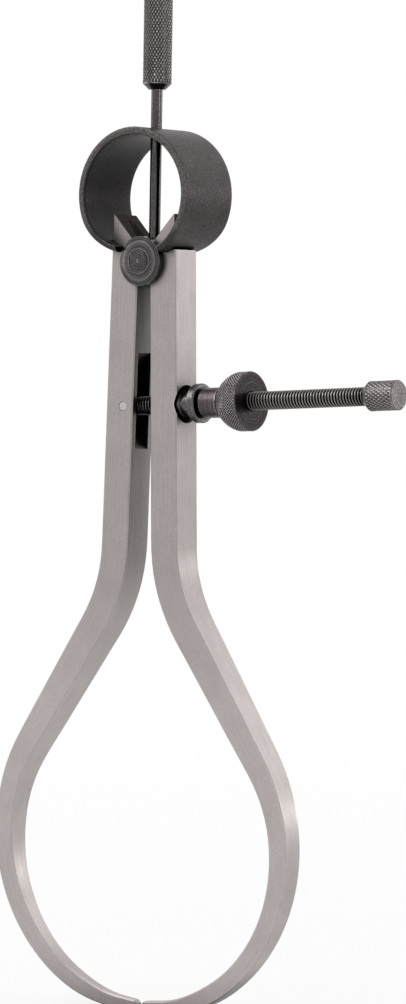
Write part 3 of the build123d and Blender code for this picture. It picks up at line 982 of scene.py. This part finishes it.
def drilled(shape, radius, depth, place):
    """The shape with a round hole cut through it along the Z of a place."""
    both = []
    bore = bmesh.new()
    bmesh.ops.create_cone(bore, cap_ends=True, segments=bore_segments, radius1=radius,
                          radius2=radius, depth=depth, matrix=place)
    for name, solid in (("drilled", shape), ("bore", bore)):
        mesh = bpy.data.meshes.new(name)
        solid.to_mesh(mesh)
        solid.free()
        both.append(bpy.data.objects.new(name, mesh))
        bpy.context.scene.collection.objects.link(both[-1])
    piece, cutter = both
    cut = piece.modifiers.new("hole", "BOOLEAN")
    cut.object = cutter
    cut.solver = "EXACT"
    seen = piece.evaluated_get(bpy.context.evaluated_depsgraph_get())
    result = bmesh.new()
    result.from_mesh(seen.to_mesh())
    for used in both:
        bpy.data.objects.remove(used)
    print("drilled:", len(result.faces), "faces")
    return result


ball = bmesh.new()
bmesh.ops.create_uvsphere(ball, u_segments=ball_segments, v_segments=ball_rows, radius=screw_radius)
ball = drilled(ball, eye_radius, screw_radius * 3, lying)
bmesh.ops.translate(ball, verts=ball.verts, vec=(0, 0, -reach_to_pin))
ball_mesh = bpy.data.meshes.new("ball")
ball.to_mesh(ball_mesh)
ball.free()
shape.from_mesh(ball_mesh)
finish_piece(shape, "threaded_screw", on_screw, screw_black, "screw",
             ["adjusting_screw"])

# %% [markdown]
# The pin is the one bright spot on the legs. Its ends are broken by a small chamfer, which makes
# the dark line round it in the photograph.

# %% Pin
pin_radius = 1.0 * MM
pin_chamfer = 0.12 * MM
pin_steps = 48
pin_smooth_angle = 25.0
pin_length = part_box("screw_pivot_pin")[1].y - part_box("screw_pivot_pin")[0].y
half = pin_length / 2
outline = [(0, -half), (pin_radius - pin_chamfer, -half), (pin_radius, -half + pin_chamfer)]
outline += [(pin_radius, half - pin_chamfer), (pin_radius - pin_chamfer, half), (0, half)]
shape = turned(outline, pin_steps)
finish_piece(shape, "pivot_pin", on_pin, pin_steel, "leg_left", ["screw_pivot_pin"],
             pin_smooth_angle)

# %% [markdown]
# The nut is turned from bar: a smooth neck with a small bead, then a rounded bell and a rim with a
# fine diamond knurl, and a flat face with turning rings round the countersunk thread.

# %% Adjusting nut
nut_bore = 1.94 * MM
nut_neck = 3.05 * MM
nut_neck_chamfer = 0.65 * MM
nut_bead = 3.2 * MM
nut_radius = 6.0 * MM
nut_chamfer = 0.2 * MM
nut_start = 5.44 * MM
bead_start = 9.95 * MM
bead_end = 10.3 * MM
bell_foot = (3.3 * MM, 10.6 * MM)
bell_middle = (5.0 * MM, 12.3 * MM)
bell_rim = (nut_radius, 14.6 * MM)
nut_end = 17.23 * MM
countersink = 2.2 * MM
nut_teeth = 58
nut_pitch = 0.64 * MM
nut_depth = 0.18 * MM
nut_fade = 0.2 * MM
nut_knurl_lead = 0.1 * MM
face_relief = -0.56
bell_rows = 42
rim_rows = 20
nut_rim_end = nut_end - nut_chamfer
outline = [(nut_bore, nut_start), (nut_neck - nut_neck_chamfer, nut_start)]
outline += [(nut_neck, nut_start + nut_neck_chamfer), (nut_neck, bead_start)]
outline += [(nut_bead, bead_start), (nut_bead, bead_end), (nut_neck, bead_end)]
outline += [(nut_neck, bell_foot[1])]
outline += arc(bell_foot, bell_middle, bell_rim, bell_rows)
outline += run(bell_rim, (nut_radius, nut_rim_end), rim_rows)
outline += [(nut_radius, nut_rim_end), (nut_radius - nut_chamfer, nut_end)]
outline += [(countersink, nut_end), (nut_bore, nut_rim_end)]
shape = turned(outline, nut_teeth * tooth_steps, closed=True)
knurl_start = bell_foot[1] + nut_knurl_lead
knurl(shape, knurl_start, nut_rim_end, nut_teeth, nut_pitch, nut_depth, nut_fade, bell_foot[0])
relief = shape.verts.layers.float["relief"]
for vert in shape.verts:
    if vert.co.z > nut_end - weld:
        vert[relief] = face_relief
finish_piece(shape, "knurled_nut", on_screw, nut_black, "nut", ["adjusting_nut"])

# %% [markdown]
# The end cap keeps the nut from running off the screw. It is a small barrel with a coarser knurl,
# handled more than the rest, so its finish is the most worn.

# %% End cap
cap_radius = 2.98 * MM
cap_bore = 1.9 * MM
cap_start = 45.03 * MM
cap_end = 52.43 * MM
cap_shoulder = 1.0 * MM
cap_shoulder_radius = 2.15 * MM
cap_chamfer = 0.25 * MM
cap_floor = 1.5 * MM
cap_teeth = 26
cap_pitch = 1.15 * MM
cap_depth = 0.16 * MM
cap_fade = 0.25 * MM
cap_knurl_inside = 2.5 * MM
cap_rows = 22
cap_low = cap_start + cap_shoulder
cap_high = cap_end - cap_chamfer
outline = [(cap_bore, cap_start), (cap_shoulder_radius, cap_start)]
outline += run((cap_radius, cap_low), (cap_radius, cap_high), cap_rows)
outline += [(cap_radius, cap_high), (cap_radius - cap_chamfer, cap_end), (0, cap_end)]
outline += [(0, cap_end - cap_floor), (cap_bore, cap_end - cap_floor)]
shape = turned(outline, cap_teeth * tooth_steps, closed=True)
knurl(shape, cap_low, cap_high, cap_teeth, cap_pitch, cap_depth, cap_fade, cap_knurl_inside)
finish_piece(shape, "knurled_cap", on_screw, cap_black, "screw", ["screw_end_cap"])

# %% [markdown]
# The bow spring is a wide flat band bent almost to a circle. It pushes the legs apart, so when the
# tool opens, its ends come together while its top stays with the handle. One solid can't show
# that, so the band is made as two halves that meet under the handle. Each half is blended: its top
# follows the head and its end follows a leg. A half starts as a rounded rectangle that is spun
# about the ring's centre and then, on a tighter radius, about the centre of the band's end.

# %% Bow spring
spring_width = 15.9 * MM
spring_radius = 13.5 * MM
spring_rise = 13.4 * MM
spring_thickness = 1.2 * MM
spring_crown = 0.3 * MM
end_radius = 11.2 * MM
spring_turn = radians(115)
end_turn = radians(47)
corner_width = 3.2 * MM
corner_height = 6.5 * MM
spring_round = 0.22 * MM
band_rows = 14
round_segments = 3
ring_steps = 46
end_steps = 30
ring_centre = Vector((0, 0, spring_rise))
to_end_centre = Vector((sin(spring_turn), 0, cos(spring_turn)))
end_centre = ring_centre + (spring_radius - end_radius) * to_end_centre


def spring_half():
    """The right half of the band, in the fulcrum's own frame."""
    shape = bmesh.new()
    turn = Matrix.Rotation(pi / 2, 4, "Y")
    middle = Matrix.Translation((0, 0, spring_rise + spring_radius - spring_thickness / 2))
    size = Matrix.Diagonal((spring_thickness, spring_width, 1, 1))
    bmesh.ops.create_grid(shape, x_segments=1, y_segments=band_rows, size=0.5,
                          matrix=middle @ turn @ size)
    corners = [vert for vert in shape.verts if abs(abs(vert.co.y) - spring_width / 2) < weld]
    bmesh.ops.bevel(shape, geom=corners, offset=spring_round, segments=round_segments,
                    profile=0.5, affect="VERTICES", material=-1)
    turning = shape.faces[:]
    last = bmesh.ops.spin(shape, geom=turning, axis=(0, 1, 0), cent=ring_centre,
                          angle=spring_turn, steps=ring_steps)
    turning = [item for item in last["geom_last"] if isinstance(item, bmesh.types.BMFace)]
    bmesh.ops.spin(shape, geom=turning, axis=(0, 1, 0), cent=end_centre, angle=end_turn,
                   steps=end_steps)
    inner = [face for face in turning if face.is_valid]
    bmesh.ops.delete(shape, geom=inner, context="FACES_ONLY")
    return shape


# %% [markdown]
# The plain band still needs three things: its inside bellies a little under the handle, the
# corners of its ends are rounded off, and the stem passes through a hole at its top. The first two
# are small moves of the points that the spin made, by a formula each, and the hole is a Boolean.

# %% Shape the band
def shape_band(shape):
    """Thickens the band to its top and rounds the corners of its end."""
    low = end_centre.z + end_radius * cos(spring_turn + end_turn)
    side = spring_width / 2 - corner_width
    for vert in shape.verts:
        away = vert.co - ring_centre
        away.y = 0
        inward = (spring_radius - away.length) / spring_thickness
        turn_left = 1.0 - min(1.0, atan2(vert.co.x, away.z) / spring_turn)
        vert.co -= away.normalized() * spring_crown * turn_left * min(1.0, max(0.0, inward))
        fall = min(1.0, max(0.0, (low + corner_height - vert.co.z) / corner_height))
        vert.co.y *= (side + corner_width * sqrt(1.0 - fall ** 2)) / (spring_width / 2)


# %% Make both halves
blend_rise = 8.0 * MM
stem_clearance = 0.15 * MM
spring_top = fulcrum + Vector((0, 0, spring_rise + spring_radius))
spring_foot = fulcrum + Vector((0, 0, blend_rise))
hole_radius = stem_radius + stem_clearance
hole_place = Matrix.Translation((0, 0, spring_rise + spring_radius))
for name, leg, hand in (("spring_right", "leg_right", 1), ("spring_left", "leg_left", -1)):
    shape = spring_half()
    shape_band(shape)
    bmesh.ops.remove_doubles(shape, verts=shape.verts, dist=weld)
    bmesh.ops.transform(shape, matrix=Matrix.Diagonal((hand, 1, 1, 1)), verts=shape.verts)
    bmesh.ops.recalc_face_normals(shape, faces=shape.faces)
    print("open or inner edges:", sum(not edge.is_manifold for edge in shape.edges))
    shape = drilled(shape, hole_radius, spring_radius, hole_place)
    piece = finish_piece(shape, name, at_fulcrum, spring_black, None,
                         ["bow_spring"])
    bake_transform(piece, "head", leg, spring_top, spring_foot)

# %% [markdown]
# Last, the box round the solids is printed. The looks may hardly outgrow the part.

# %% Print the box round the solids
print("cad box", [round(v, 5) for v in (*cad_box[0], *cad_box[1])])
